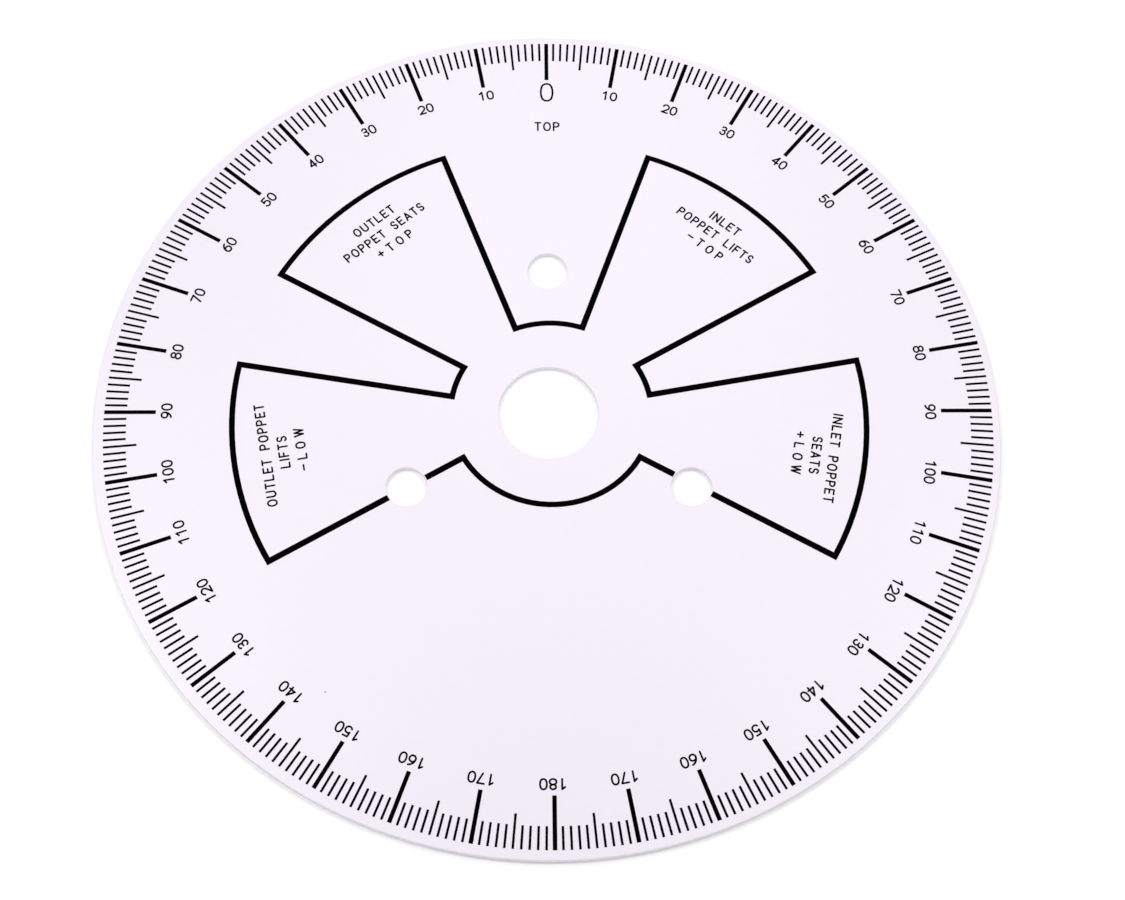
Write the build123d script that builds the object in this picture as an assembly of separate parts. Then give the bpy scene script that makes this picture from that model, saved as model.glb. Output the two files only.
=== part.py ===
from build123d import *
from functools import lru_cache
from math import atan2, degrees, radians, sin
import os

# Degree wheel for an engine's crankshaft. Lengths are in millimetres and angles in degrees.
# The origin is the centre of the plate's back face, +Z leaves the printed face and
# +Y points at the zero mark. Angles on the scale are counted clockwise from the zero mark.

# Plate, blanked from flat sheet aluminium and tumbled, so that every edge is slightly round
plate_diameter = 228.6
plate_thickness = 1.6
rim_round = 0.25
hole_round = 0.15

# Bore for the nose of the crankshaft, and the ring of holes for the pulley's bolts
bore_diameter = 25.4
bolt_circle_diameter = 81.8
bolt_hole_diameter = 10.3
bolt_hole_count = 3

# Black ink, printed in one pass on the front face, a little off the centre of the plate
ink_thickness = 0.05
print_shift_x = 0.4
print_shift_y = 0.23
print_turn = 0.15

# Degree scale: a bar at every degree, longer at each fifth and both longer and bolder at each tenth
scale_margin = 2.26
one_degree_length = 5.64
five_degree_length = 8.32
ten_degree_length = 12.89
zero_length = 11.9
thin_width = 0.58
bold_width = 1.04

# Plain numbers inside the scale, with their heads towards the rim
number_height = 2.92
number_pen = 0.45
number_digit_width = 2.05
number_pitch = 2.24
number_gap = 1.25
number_lead = 0.3

# Large nought under the zero mark
zero_height = 6.0
zero_digit_width = 3.7
zero_pen = 0.52
zero_gap = 0.98

# Outline of the four sectors in which a valve opens or closes, drawn as one closed line. Against the
# scale its straight sides are turned a little anticlockwise and its hub arcs are a little off centre
fan_tip_radius = 80.0
fan_hub_radius = 25.4
fan_arc_width = 1.47
fan_side_width = 1.6
fan_turn = 0.33
fan_hub_shift_x = 0.26
fan_hub_shift_y = -0.17
fan_sector_angle = 40.0
fan_upper_angle = 40.0
fan_lower_angle = 100.0
fan_hole_gap = 0.15

# Captions of the sectors, three lines each, and the short caption below the nought
caption_height = 2.65
caption_pen = 0.43
caption_line_pitch = 4.45
caption_drop = 6.6
caption_lead = 0.6
caption_letter_gap = 0.49
caption_word_gap = 2.57
caption_spaced_gap = 1.32
top_caption_height = 2.88
top_caption_gap = 6.58

plate_radius = plate_diameter / 2
bolt_circle_radius = bolt_circle_diameter / 2
scale_radius = plate_radius - scale_margin
zero_foot_radius = scale_radius - zero_length - zero_gap - zero_height
print_on_face = Pos(print_shift_x, print_shift_y) * Rot(0, 0, print_turn)
print_place = Pos(0, 0, plate_thickness) * print_on_face
bolt_hole_angles = [360 / bolt_hole_count * index for index in range(bolt_hole_count)]

# Width of each letter's centre line, as a share of the height of its centre line
letter_widths = {
    "A": 0.64, "E": 0.55, "F": 0.52, "I": 0.0, "L": 0.54, "N": 0.65, "O": 0.70,
    "P": 0.57, "S": 0.52, "T": 0.57, "U": 0.64, "W": 0.90, "+": 0.62, "-": 0.62,
}


def build_plate():
    """The disc with its bore and bolt holes, and with rounded edges."""
    disc = Cylinder(plate_radius, plate_thickness, align=(Align.CENTER, Align.CENTER, Align.MIN))
    tool_length = 3 * plate_thickness
    disc -= Cylinder(bore_diameter / 2, tool_length)
    for angle in bolt_hole_angles:
        drill = Cylinder(bolt_hole_diameter / 2, tool_length)
        disc -= Rot(0, 0, -angle) * Pos(0, bolt_circle_radius) * drill
    round_edges = disc.edges().filter_by(GeomType.CIRCLE)
    rim_edges = round_edges.filter_by(lambda edge: edge.radius > plate_radius - rim_round)
    hole_edges = round_edges.filter_by(lambda edge: edge.radius < plate_radius - rim_round)
    return fillet(hole_edges, hole_round).fillet(rim_round, rim_edges)


def degree_mark(angle, length, width):
    """One bar of the scale, from the scale's outer circle inwards."""
    bar = Box(width, length, ink_thickness, align=(Align.CENTER, Align.MAX, Align.MIN))
    return Rot(0, 0, -angle) * Pos(0, scale_radius) * bar


def degree_marks(angles, length, width):
    """Bars of one kind, one at each of the angles."""
    return [degree_mark(angle, length, width) for angle in angles]


def oval(width, height):
    """Closed oval of four tangent arcs, taller than it is wide, centred on the origin."""
    half_width = width / 2
    half_height = height / 2
    end_radius = 0.87 * half_width
    end_centre = half_height - end_radius
    side_radius = (half_width**2 + end_centre**2 - end_radius**2) / (2 * (half_width - end_radius))
    side_centre = side_radius - half_width
    join = degrees(atan2(end_centre, side_centre))
    return [
        CenterArc((-side_centre, 0), side_radius, -join, 2 * join),
        CenterArc((0, end_centre), end_radius, join, 180 - 2 * join),
        CenterArc((side_centre, 0), side_radius, 180 - join, 2 * join),
        CenterArc((0, -end_centre), end_radius, 180 + join, 180 - 2 * join),
    ]


def flat_oval(width, height, centre_y):
    """Closed oval that is wider than it is tall."""
    turned = Pos(0, centre_y) * Rot(0, 0, 90)
    return [turned * arc for arc in oval(height, width)]


def digit_strokes(digit, width, height):
    """Paths of the pen for one digit that stands on y = 0, centred on x = 0."""
    side = width / 2
    if digit == "0":
        return [[Pos(0, height / 2) * arc for arc in oval(width, height)]]
    if digit == "1":
        return [[Polyline((-0.36 * width, 0.78 * height), (0.07 * width, height), (0.07 * width, 0))]]
    if digit == "2":
        top = CenterArc((0, height - side), side, 165, -215)
        return [[top, Polyline(top @ 1, (-side, 0), (side, 0))]]
    if digit == "3":
        upper = 0.235 * height
        lower = 0.5 * height - upper
        waist = Line((-0.12 * width, 2 * lower), (0.06 * width, 2 * lower))
        upper_bowl = CenterArc((0.06 * width, height - upper), upper, 155, -245)
        lower_bowl = CenterArc((0.06 * width, lower), lower, 90, -250)
        return [[upper_bowl], [waist, lower_bowl]]
    if digit == "4":
        stem = 0.22 * width
        bar = 0.27 * height
        return [[Line((stem, 0), (stem, height))], [Polyline((stem, height), (-side, bar), (side, bar))]]
    if digit == "5":
        bowl_radius = 0.32 * height
        bowl = CenterArc((0, bowl_radius), bowl_radius, 138, -288)
        return [[Polyline((0.42 * width, height), (-0.3 * width, height), bowl @ 0), bowl]]
    if digit == "6":
        bowl_radius = 0.31 * height
        spine_radius = 0.69 * height
        bowl = CenterArc((0, bowl_radius), bowl_radius, 0, 360)
        spine = CenterArc((spine_radius - bowl_radius, bowl_radius), spine_radius, 180, -78)
        return [[bowl], [spine]]
    if digit == "7":
        return [[Polyline((-side, height), (side, height), (-0.14 * width, 0))]]
    if digit == "8":
        lower = 0.54 * height
        upper = height - lower
        lower_loop = flat_oval(width, lower, lower / 2)
        upper_loop = flat_oval(0.86 * width, upper, height - upper / 2)
        return [lower_loop, upper_loop]
    turn = Pos(0, height / 2) * Rot(0, 0, 180) * Pos(0, -height / 2)
    return [[turn * edge for edge in stroke] for stroke in digit_strokes("6", width, height)]


def letter_strokes(letter, width, height):
    """Paths of the pen for one capital letter or sign that stands on y = 0, centred on x = 0."""
    side = width / 2
    middle = height / 2
    if letter == "A":
        bar = 0.3 * height
        bar_side = side * (1 - bar / height)
        peak = Polyline((-side, 0), (0, height), (side, 0))
        return [[peak], [Line((-bar_side, bar), (bar_side, bar))]]
    if letter == "E":
        frame = Polyline((side, height), (-side, height), (-side, 0), (side, 0))
        return [[frame], [Line((-side, middle), (0.6 * side, middle))]]
    if letter == "F":
        frame = Polyline((side, height), (-side, height), (-side, 0))
        return [[frame], [Line((-side, middle), (0.6 * side, middle))]]
    if letter == "I":
        return [[Line((0, 0), (0, height))]]
    if letter == "L":
        return [[Polyline((-side, height), (-side, 0), (side, 0))]]
    if letter == "N":
        return [[Polyline((-side, 0), (-side, height), (side, 0), (side, height))]]
    if letter == "O":
        return [[Pos(0, middle) * arc for arc in oval(width, height)]]
    if letter == "P":
        bowl_radius = 0.27 * height
        bowl_x = side - bowl_radius
        top = Line((-side, height), (bowl_x, height))
        bowl = CenterArc((bowl_x, height - bowl_radius), bowl_radius, 90, -180)
        bottom = Line(bowl @ 1, (-side, height - 2 * bowl_radius))
        return [[Line((-side, 0), (-side, height))], [top, bowl, bottom]]
    if letter == "S":
        bowl_radius = height / 4
        upper = CenterArc((0, height - bowl_radius), bowl_radius, 25, 245)
        lower = CenterArc((0, bowl_radius), bowl_radius, 90, -245)
        return [[upper, lower]]
    if letter == "T":
        return [[Line((-side, height), (side, height))], [Line((0, 0), (0, height))]]
    if letter == "U":
        bend = CenterArc((0, side), side, 180, 180)
        return [[Line((-side, height), bend @ 0), bend, Line(bend @ 1, (side, height))]]
    if letter == "W":
        return [[Polyline((-side, height), (-side / 2, 0), (0, height), (side / 2, 0), (side, height))]]
    level = [[Line((-side, middle), (side, middle))]]
    if letter == "+":
        return level + [[Line((0, middle - side), (0, middle + side))]]
    return level


def inked(stroke, pen):
    """The area that a round pen covers along one open or closed path."""
    path = Wire([edge for part in stroke for edge in part.edges()])
    if path.is_closed:
        return Sketch() + Face(path.offset_2d(pen / 2)) - Face(path.offset_2d(-pen / 2))
    return Sketch() + Face(path.offset_2d(pen / 2))


@lru_cache(maxsize=None)
def character(sign, width, height, pen):
    """One character of ink. Width and height are taken over the outside of the pen's line."""
    strokes = digit_strokes if sign.isdigit() else letter_strokes
    area = Sketch()
    for stroke in strokes(sign, max(width - pen, 0), height - pen):
        area += inked(stroke, pen)
    return extrude(Pos(0, pen / 2) * area, ink_thickness)


def number(value, place):
    """A whole number set on a fixed pitch, centred on the place, its foot at y = 0."""
    signs = str(value)
    start = -(len(signs) - 1) / 2 * number_pitch
    digits = [character(sign, number_digit_width, number_height, number_pen) for sign in signs]
    return [place * Pos(start + index * number_pitch) * digit for index, digit in enumerate(digits)]


def scale_number(value, side):
    """The number of a tenth degree: side is 1 on the clockwise half of the scale and -1 on the other."""
    foot_radius = scale_radius - ten_degree_length - number_gap - number_height
    return number(value, Rot(0, 0, -side * value) * Pos(number_lead, foot_radius))


def letter_width(letter, height):
    """Width of a caption's letter over the outside of its line."""
    return letter_widths[letter] * (height - caption_pen) + caption_pen


def caption_line(words, height, letter_gap, place):
    """A line of capitals, centred on the place, its foot at y = 0."""
    widths = [letter_width(sign, height) if sign != " " else 0 for sign in words]
    steps = [width + letter_gap if width else caption_word_gap for width in widths]
    after_word = words.count(" ") * letter_gap
    line_width = sum(steps) - letter_gap - after_word
    line = []
    x = -line_width / 2
    for sign, width, step in zip(words, widths, steps):
        if sign == " ":
            x += step - letter_gap
            continue
        line.append(place * Pos(x + width / 2) * character(sign, width, height, caption_pen))
        x += step
    return line


def sector_caption(angle, first, second, spaced):
    """Three lines of capitals in one sector, the last of them widely spaced."""
    foot_radius = fan_tip_radius - caption_drop - caption_height
    letters = []
    for index, (words, gap) in enumerate(
        [(first, caption_letter_gap), (second, caption_letter_gap), (spaced, caption_spaced_gap)]
    ):
        place = Rot(0, 0, -angle) * Pos(caption_lead, foot_radius - index * caption_line_pitch)
        letters += caption_line(words, caption_height, gap, place)
    return letters


def fan_area(outwards):
    """Hub and four sectors together, with every border moved by half its line: outwards is 1 or -1."""
    arc_step = outwards * fan_arc_width / 2
    side_step = outwards * fan_side_width / 2
    half_angle = fan_sector_angle / 2
    apex = -side_step / sin(radians(half_angle))
    reach = 2 * fan_tip_radius
    tip_circle = Circle(fan_tip_radius + arc_step)
    area = Sketch() + Pos(fan_hub_shift_x, fan_hub_shift_y) * Circle(fan_hub_radius + arc_step)
    for angle in (-fan_lower_angle, -fan_upper_angle, fan_upper_angle, fan_lower_angle):
        left = Vector(0, apex) + Vector(0, reach).rotate(Axis.Z, half_angle)
        right = Vector(0, apex) + Vector(0, reach).rotate(Axis.Z, -half_angle)
        wedge = Sketch() + make_face(Polyline((0, apex), right, left, close=True))
        area += (Rot(0, 0, fan_turn - angle) * wedge) & tip_circle
    return area


def fan_outline():
    """The closed line around the hub and the sectors, cut square on either side of a bolt hole."""
    line = fan_area(1) - fan_area(-1)
    gap_side = bolt_hole_diameter + 2 * fan_hole_gap
    for angle in bolt_hole_angles:
        hole_place = print_on_face.inverse() * Rot(0, 0, -angle) * Pos(0, bolt_circle_radius)
        line -= hole_place * Rectangle(gap_side, gap_side)
    return extrude(line, ink_thickness).solids()


def zero_number():
    """The large nought under the zero mark."""
    return [Pos(0, zero_foot_radius) * character("0", zero_digit_width, zero_height, zero_pen)]


def write_ink(node, pieces):
    """Lays the pieces of one part of the print on the front face and writes them."""
    solids = [solid for piece in pieces for solid in (print_place * piece).solids()]
    export_step(Compound(label=node, children=solids), f"parts/{node}.step")


os.makedirs("parts", exist_ok=True)
plate = build_plate()
plate.label = "plate"
export_step(plate, "parts/plate.step")

tens = range(10, 180, 10)
one_angles = [angle for angle in range(360) if angle % 5]
write_ink("zero_mark", degree_marks([0], zero_length, bold_width))
write_ink("ten_degree_marks", degree_marks(range(10, 360, 10), ten_degree_length, bold_width))
write_ink("five_degree_marks", degree_marks(range(5, 360, 10), five_degree_length, thin_width))
write_ink("one_degree_marks", degree_marks(one_angles, one_degree_length, thin_width))

write_ink("zero_number", zero_number())
write_ink("right_numbers", [digit for value in tens for digit in scale_number(value, 1)])
write_ink("left_numbers", [digit for value in tens for digit in scale_number(value, -1)])
write_ink("bottom_number", scale_number(180, 1))

write_ink("sector_outline", fan_outline())
write_ink("outlet_closing_caption", sector_caption(-fan_upper_angle, "OUTLET", "POPPET SEATS", "+TOP"))
write_ink("inlet_opening_caption", sector_caption(fan_upper_angle, "INLET", "POPPET LIFTS", "-TOP"))
write_ink("outlet_opening_caption", sector_caption(-fan_lower_angle, "OUTLET POPPET", "LIFTS", "-LOW"))
write_ink("inlet_closing_caption", sector_caption(fan_lower_angle, "INLET POPPET", "SEATS", "+LOW"))
top_caption_place = Pos(0, zero_foot_radius - top_caption_gap - top_caption_height)
write_ink("top_caption", caption_line("TOP", top_caption_height, caption_letter_gap, top_caption_place))
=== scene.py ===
import math

import bmesh
import bpy
from mathutils import Matrix, Quaternion, Vector


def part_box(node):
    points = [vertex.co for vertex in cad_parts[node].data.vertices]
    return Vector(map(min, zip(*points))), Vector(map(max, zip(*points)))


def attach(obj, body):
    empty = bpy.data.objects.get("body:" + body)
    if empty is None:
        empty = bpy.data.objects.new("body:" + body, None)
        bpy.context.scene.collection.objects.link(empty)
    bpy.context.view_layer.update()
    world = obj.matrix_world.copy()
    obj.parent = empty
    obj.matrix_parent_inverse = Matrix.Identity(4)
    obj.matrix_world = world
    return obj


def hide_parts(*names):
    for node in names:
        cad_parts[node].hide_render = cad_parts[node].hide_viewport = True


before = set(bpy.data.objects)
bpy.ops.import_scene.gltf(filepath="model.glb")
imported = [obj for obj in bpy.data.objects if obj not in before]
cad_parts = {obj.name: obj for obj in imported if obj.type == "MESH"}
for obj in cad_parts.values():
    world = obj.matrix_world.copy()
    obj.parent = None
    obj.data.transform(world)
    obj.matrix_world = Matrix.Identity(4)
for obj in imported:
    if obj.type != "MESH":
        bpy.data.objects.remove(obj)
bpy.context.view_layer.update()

# Plate: a disc blanked from 1.6 mm aluminium sheet, bore and bolt holes punched through, every edge rounded
# and burnished by tumbling, and clear anodised to a fine satin. The cut walls keep the upright streaks of
# the punch. It is bolted flat against the crankshaft's pulley.
plate_low, plate_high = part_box("plate")
plate_radius = plate_high.x
sheet_top = plate_high.z
rim_round = 0.00025
hole_round = 0.00015
bore_radius = 0.0127
bolt_circle_radius = 0.0409
bolt_hole_radius = 0.00515
bolt_hole_count = 3
land_width = 0.00004
round_steps = 6
rim_steps = 720
bore_steps = 240
bolt_hole_steps = 120
merge_distance = 1e-7
level_tolerance = 1e-8
face_part, wall_part, edge_part = 0, 1, 2


def spin_cut_edge(mesh, centre, radius, outwards, corner_round, steps):
    """Spins the section of a cut edge about its axis: a narrow land, a rounded corner, the wall, and back."""
    land_radius = radius + outwards * (corner_round + land_width)
    corners = [(land_radius, sheet_top), (radius, sheet_top), (radius, 0.0), (land_radius, 0.0)]
    section = [mesh.verts.new((centre.x + x, centre.y, z)) for x, z in corners]
    for pair in zip(section, section[1:]):
        mesh.edges.new(pair)
    bmesh.ops.bevel(
        mesh, geom=section[1:3], affect="VERTICES", offset=corner_round,
        segments=round_steps, profile=0.5, material=-1,
    )
    outline = [vert for vert in mesh.verts if vert.is_wire]
    outline += [edge for edge in mesh.edges if edge.is_wire]
    bmesh.ops.spin(
        mesh, geom=outline, cent=centre, axis=(0, 0, 1),
        angle=math.tau, steps=steps, use_merge=True, use_duplicate=False,
    )


def close_face(mesh, height, normal):
    """Fills the sheet's face at one height between the lands of the rim and of the holes."""
    rings = [
        edge for edge in mesh.edges
        if edge.is_boundary and all(abs(vert.co.z - height) < merge_distance for vert in edge.verts)
    ]
    bmesh.ops.triangle_fill(mesh, edges=rings, use_beauty=True, normal=normal)


def new_piece(name, mesh, materials):
    """Makes the mesh a piece that rides on the wheel."""
    data = bpy.data.meshes.new(name)
    mesh.to_mesh(data)
    mesh.free()
    for material in materials:
        data.materials.append(material)
    piece = bpy.data.objects.new(name, data)
    bpy.context.scene.collection.objects.link(piece)
    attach(piece, "root")
    return piece


def add_node(tree, kind, settings=None, **values):
    """Adds a node with its settings, and sets or links its inputs, named or counted as i0, i1, i2."""
    node = tree.nodes.new(kind)
    for key, value in (settings or {}).items():
        setattr(node, key, value)
    for key, value in values.items():
        counted = key[0] == "i" and key[1:].isdigit()
        socket = node.inputs[int(key[1:])] if counted else node.inputs[key.replace("_", " ")]
        if isinstance(value, bpy.types.NodeSocket):
            tree.links.new(value, socket)
        else:
            socket.default_value = value
    return node


def make_grain_group():
    """Fine grain: a mask that varies about a half, stretched along the rolling or the punching direction."""
    grain_depth = 0.00002
    group = bpy.data.node_groups.new("surface_grain", "ShaderNodeTree")
    group.interface.new_socket(name="Stretch", in_out="INPUT", socket_type="NodeSocketVector")
    group.interface.new_socket(name="Scale", in_out="INPUT", socket_type="NodeSocketFloat")
    group.interface.new_socket(name="Relief", in_out="INPUT", socket_type="NodeSocketFloat")
    group.interface.new_socket(name="Mask", in_out="OUTPUT", socket_type="NodeSocketFloat")
    group.interface.new_socket(name="Normal", in_out="OUTPUT", socket_type="NodeSocketVector")
    entry = group.nodes.new("NodeGroupInput")
    leave = group.nodes.new("NodeGroupOutput")
    place = add_node(group, "ShaderNodeTexCoord")
    mapping = add_node(
        group, "ShaderNodeMapping", Vector=place.outputs["Object"], Scale=entry.outputs["Stretch"],
    )
    noise = add_node(
        group, "ShaderNodeTexNoise", {"noise_dimensions": "3D"},
        Vector=mapping.outputs["Vector"], Scale=entry.outputs["Scale"], Detail=4.0, Roughness=0.6,
    )
    bump = add_node(
        group, "ShaderNodeBump",
        Strength=entry.outputs["Relief"], Distance=grain_depth, Height=noise.outputs["Fac"],
    )
    group.links.new(noise.outputs["Fac"], leave.inputs["Mask"])
    group.links.new(bump.outputs["Normal"], leave.inputs["Normal"])
    return group


def make_finish(name, stretch, scale, relief, dark, light, rough, metallic=0.0):
    """A material whose colour, roughness and relief follow the shared grain."""
    mask_low, mask_high = 0.3, 0.7
    material = bpy.data.materials.new(name)
    material.use_nodes = True
    tree = material.node_tree
    shader = tree.nodes["Principled BSDF"]
    shader.inputs["Metallic"].default_value = metallic
    grain = add_node(
        tree, "ShaderNodeGroup", {"node_tree": grain_group}, Stretch=stretch, Scale=scale, Relief=relief,
    )
    spread = add_node(
        tree, "ShaderNodeMapRange", i0=grain.outputs["Mask"], i1=mask_low, i2=mask_high, i3=0.0, i4=1.0,
    )
    colour = add_node(
        tree, "ShaderNodeMix", {"data_type": "RGBA"}, i0=spread.outputs[0], i6=(*dark, 1), i7=(*light, 1),
    )
    roughness = add_node(
        tree, "ShaderNodeMapRange", i0=spread.outputs[0], i1=0.0, i2=1.0, i3=rough[0], i4=rough[1],
    )
    tree.links.new(colour.outputs[2], shader.inputs["Base Color"])
    tree.links.new(roughness.outputs[0], shader.inputs["Roughness"])
    tree.links.new(grain.outputs["Normal"], shader.inputs["Normal"])
    return material


grain_group = make_grain_group()
face_finish = make_finish(
    "satin_anodised_face", stretch=(1.0, 14.0, 1.0), scale=420.0, relief=0.03,
    dark=(0.885, 0.838, 0.928), light=(0.908, 0.862, 0.952), rough=(0.46, 0.54), metallic=0.25,
)
wall_finish = make_finish(
    "punched_wall", stretch=(1.0, 1.0, 0.12), scale=2600.0, relief=0.3,
    dark=(0.85, 0.82, 0.89), light=(0.94, 0.905, 0.98), rough=(0.38, 0.55), metallic=0.2,
)
edge_finish = make_finish(
    "tumbled_edge", stretch=(1.0, 1.0, 1.0), scale=1800.0, relief=0.1,
    dark=(0.885, 0.84, 0.925), light=(0.93, 0.885, 0.965), rough=(0.34, 0.44), metallic=0.25,
)

mesh = bmesh.new()
middle = Vector((0, 0, 0))
spin_cut_edge(mesh, middle, plate_radius, -1, rim_round, rim_steps)
spin_cut_edge(mesh, middle, bore_radius, 1, hole_round, bore_steps)
for turn in range(bolt_hole_count):
    to_hole = Matrix.Rotation(-turn * math.tau / bolt_hole_count, 3, "Z") @ Vector((0, bolt_circle_radius, 0))
    spin_cut_edge(mesh, to_hole, bolt_hole_radius, 1, hole_round, bolt_hole_steps)
bmesh.ops.remove_doubles(mesh, verts=mesh.verts, dist=merge_distance)
close_face(mesh, sheet_top, (0, 0, 1))
close_face(mesh, 0.0, (0, 0, -1))
bmesh.ops.recalc_face_normals(mesh, faces=mesh.faces)
for face in mesh.faces:
    heights = [vert.co.z for vert in face.verts]
    rise = max(heights) - min(heights)
    face.smooth = rise > level_tolerance
    if rise > sheet_top / 2:
        face.material_index = wall_part
    elif rise > level_tolerance:
        face.material_index = edge_part
    else:
        face.material_index = face_part
plate_sheet = new_piece("plate_sheet", mesh, [face_finish, wall_finish, edge_finish])
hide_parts("plate")

# Scale bars: a long bar at zero, long bars each ten degrees, shorter ones each five and the shortest each
# degree, all ending on the same circle near the rim. They are screen-printed on the front face in black
# ink, about 0.05 mm thick, which dries to a dull black with the faint unevenness of the screen.
ink_finish = make_finish(
    "screen_printed_ink", stretch=(1.0, 1.0, 1.0), scale=3200.0, relief=0.15,
    dark=(0.0002, 0.0002, 0.0002), light=(0.0010, 0.0009, 0.0011), rough=(0.42, 0.6),
)
ink_finish.node_tree.nodes["Principled BSDF"].inputs["Specular IOR Level"].default_value = 0.01


def print_in_ink(*names):
    """Gives the printed nodes the black ink."""
    for name in names:
        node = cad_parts[name]
        node.data.materials.clear()
        node.data.materials.append(ink_finish)


print_in_ink("zero_mark", "ten_degree_marks", "five_degree_marks", "one_degree_marks")

# Numbers: a large nought inside the zero bar, and small numbers inside the bars of the tens, which run from
# ten to a hundred and seventy down both sides and meet at a hundred and eighty. They are part of the same
# pass of black ink.
print_in_ink("zero_number", "right_numbers", "left_numbers", "bottom_number")

# Sector outline: one broad line round the bore and four sectors, two on either side, one for each opening
# or closing of a valve. It is of the same ink, and is broken at two of the bolt holes.
print_in_ink("sector_outline")

# Captions: three short lines in each sector that say which valve opens or closes there, and one word under
# the nought. They are capitals of one pen width, printed with the rest.
print_in_ink("outlet_closing_caption", "inlet_opening_caption")
print_in_ink("outlet_opening_caption", "inlet_closing_caption")
print_in_ink("top_caption")

# Stray drop: a speck of ink that fell through a pinhole of the screen, low on the left of the face. It is a
# thin dome of the same ink, dried on the plate and a little wider than it is long.
drop_place = Vector((-0.0535, -0.0736, 0.0))
drop_radius = 0.0002
drop_height = 0.00003
drop_length_share = 0.8
mesh = bmesh.new()
bmesh.ops.create_uvsphere(mesh, u_segments=16, v_segments=8, radius=drop_radius)
bmesh.ops.scale(mesh, verts=mesh.verts, vec=(1.0, drop_length_share, drop_height / drop_radius))
bmesh.ops.translate(mesh, verts=mesh.verts, vec=drop_place + Vector((0, 0, sheet_top)))
for face in mesh.faces:
    face.smooth = True
new_piece("stray_ink_drop", mesh, [ink_finish])

# Floor: plain white paper under the wheel, which keeps its soft shadow. It is a little whiter to the camera
# than to the wheel, so that the background is white with no more light on the object.
floor_gap = 0.00002
floor_size = 6.0
paper_white = 0.9
paper_white_seen = 1.10
mesh = bmesh.new()
bmesh.ops.create_grid(mesh, x_segments=1, y_segments=1, size=floor_size)
bmesh.ops.translate(mesh, verts=mesh.verts, vec=(0, 0, -floor_gap))
floor_data = bpy.data.meshes.new("floor")
mesh.to_mesh(floor_data)
mesh.free()
floor = bpy.data.objects.new("floor", floor_data)
bpy.context.scene.collection.objects.link(floor)

paper_finish = bpy.data.materials.new("white_paper")
paper_finish.use_nodes = True
tree = paper_finish.node_tree
tree.nodes.remove(tree.nodes["Principled BSDF"])
path = add_node(tree, "ShaderNodeLightPath")
seen = add_node(
    tree, "ShaderNodeMath", {"operation": "MAXIMUM"},
    i0=path.outputs["Is Camera Ray"], i1=path.outputs["Is Glossy Ray"],
)
seen = add_node(
    tree, "ShaderNodeMath", {"operation": "MAXIMUM"},
    i0=seen.outputs[0], i1=path.outputs["Is Transmission Ray"],
)
whiteness = add_node(
    tree, "ShaderNodeMapRange", i0=seen.outputs[0], i1=0.0, i2=1.0, i3=paper_white, i4=paper_white_seen,
)
paper = add_node(tree, "ShaderNodeBsdfDiffuse", Color=whiteness.outputs[0])
tree.links.new(paper.outputs[0], tree.nodes["Material Output"].inputs["Surface"])
floor_data.materials.append(paper_finish)

# Light: a room with white walls and a greyer ceiling, a round softbox on either side of the wheel, and a
# weaker one behind it, which lifts the far side of the face a little.
wall_level = 0.59
ceiling_level = 0.38
ceiling_starts = 0.76
softboxes = {
    "left_softbox": ((-0.36, 0.05, 0.62), 0.24, 1.22),
    "right_softbox": ((0.36, 0.05, 0.62), 0.24, 0.96),
    "far_softbox": ((0.03, 0.36, 0.52), 0.30, 0.45),
}
world = bpy.data.worlds.new("room")
bpy.context.scene.world = world
world.use_nodes = True
tree = world.node_tree
path = add_node(tree, "ShaderNodeLightPath")
towards = add_node(tree, "ShaderNodeTexCoord")
split = add_node(tree, "ShaderNodeSeparateXYZ", Vector=towards.outputs["Generated"])
room = add_node(
    tree, "ShaderNodeMapRange",
    i0=split.outputs["Z"], i1=ceiling_starts, i2=1.0, i3=wall_level, i4=ceiling_level,
)
white_if_seen = add_node(
    tree, "ShaderNodeMix", {"data_type": "FLOAT"},
    i0=path.outputs["Is Camera Ray"], i2=room.outputs[0], i3=1.0,
)
tree.nodes["Background"].inputs["Color"].default_value = (1, 1, 1, 1)
tree.links.new(white_if_seen.outputs[0], tree.nodes["Background"].inputs["Strength"])

for name, (place, size, power) in softboxes.items():
    lamp_data = bpy.data.lights.new(name, "AREA")
    lamp_data.shape = "DISK"
    lamp_data.size = size
    lamp_data.energy = power
    lamp = bpy.data.objects.new(name, lamp_data)
    lamp.location = place
    lamp.rotation_mode = "QUATERNION"
    lamp.rotation_quaternion = (-Vector(place)).to_track_quat("-Z", "Y")
    bpy.context.scene.collection.objects.link(lamp)

# Camera: above the near side of the wheel, looking down at 65 degrees and held a little askew, with all
# of the wheel in focus.
camera_place = Vector((-0.0089, -0.2272, 0.4750))
aimed_at = Vector((0.0034, -0.0105, 0.0016))
camera_roll = math.radians(2.95)
camera_data = bpy.data.cameras.new("camera")
camera_data.sensor_width = 36.0
camera_data.lens = 66.55
camera_data.clip_start = 0.01
camera = bpy.data.objects.new("camera", camera_data)
camera.location = camera_place
camera.rotation_mode = "QUATERNION"
level = (aimed_at - camera_place).to_track_quat("-Z", "Y")
camera.rotation_quaternion = level @ Quaternion((0, 0, 1), camera_roll)
bpy.context.scene.collection.objects.link(camera)
bpy.context.scene.camera = camera
bpy.context.scene.view_settings.view_transform = "Standard"
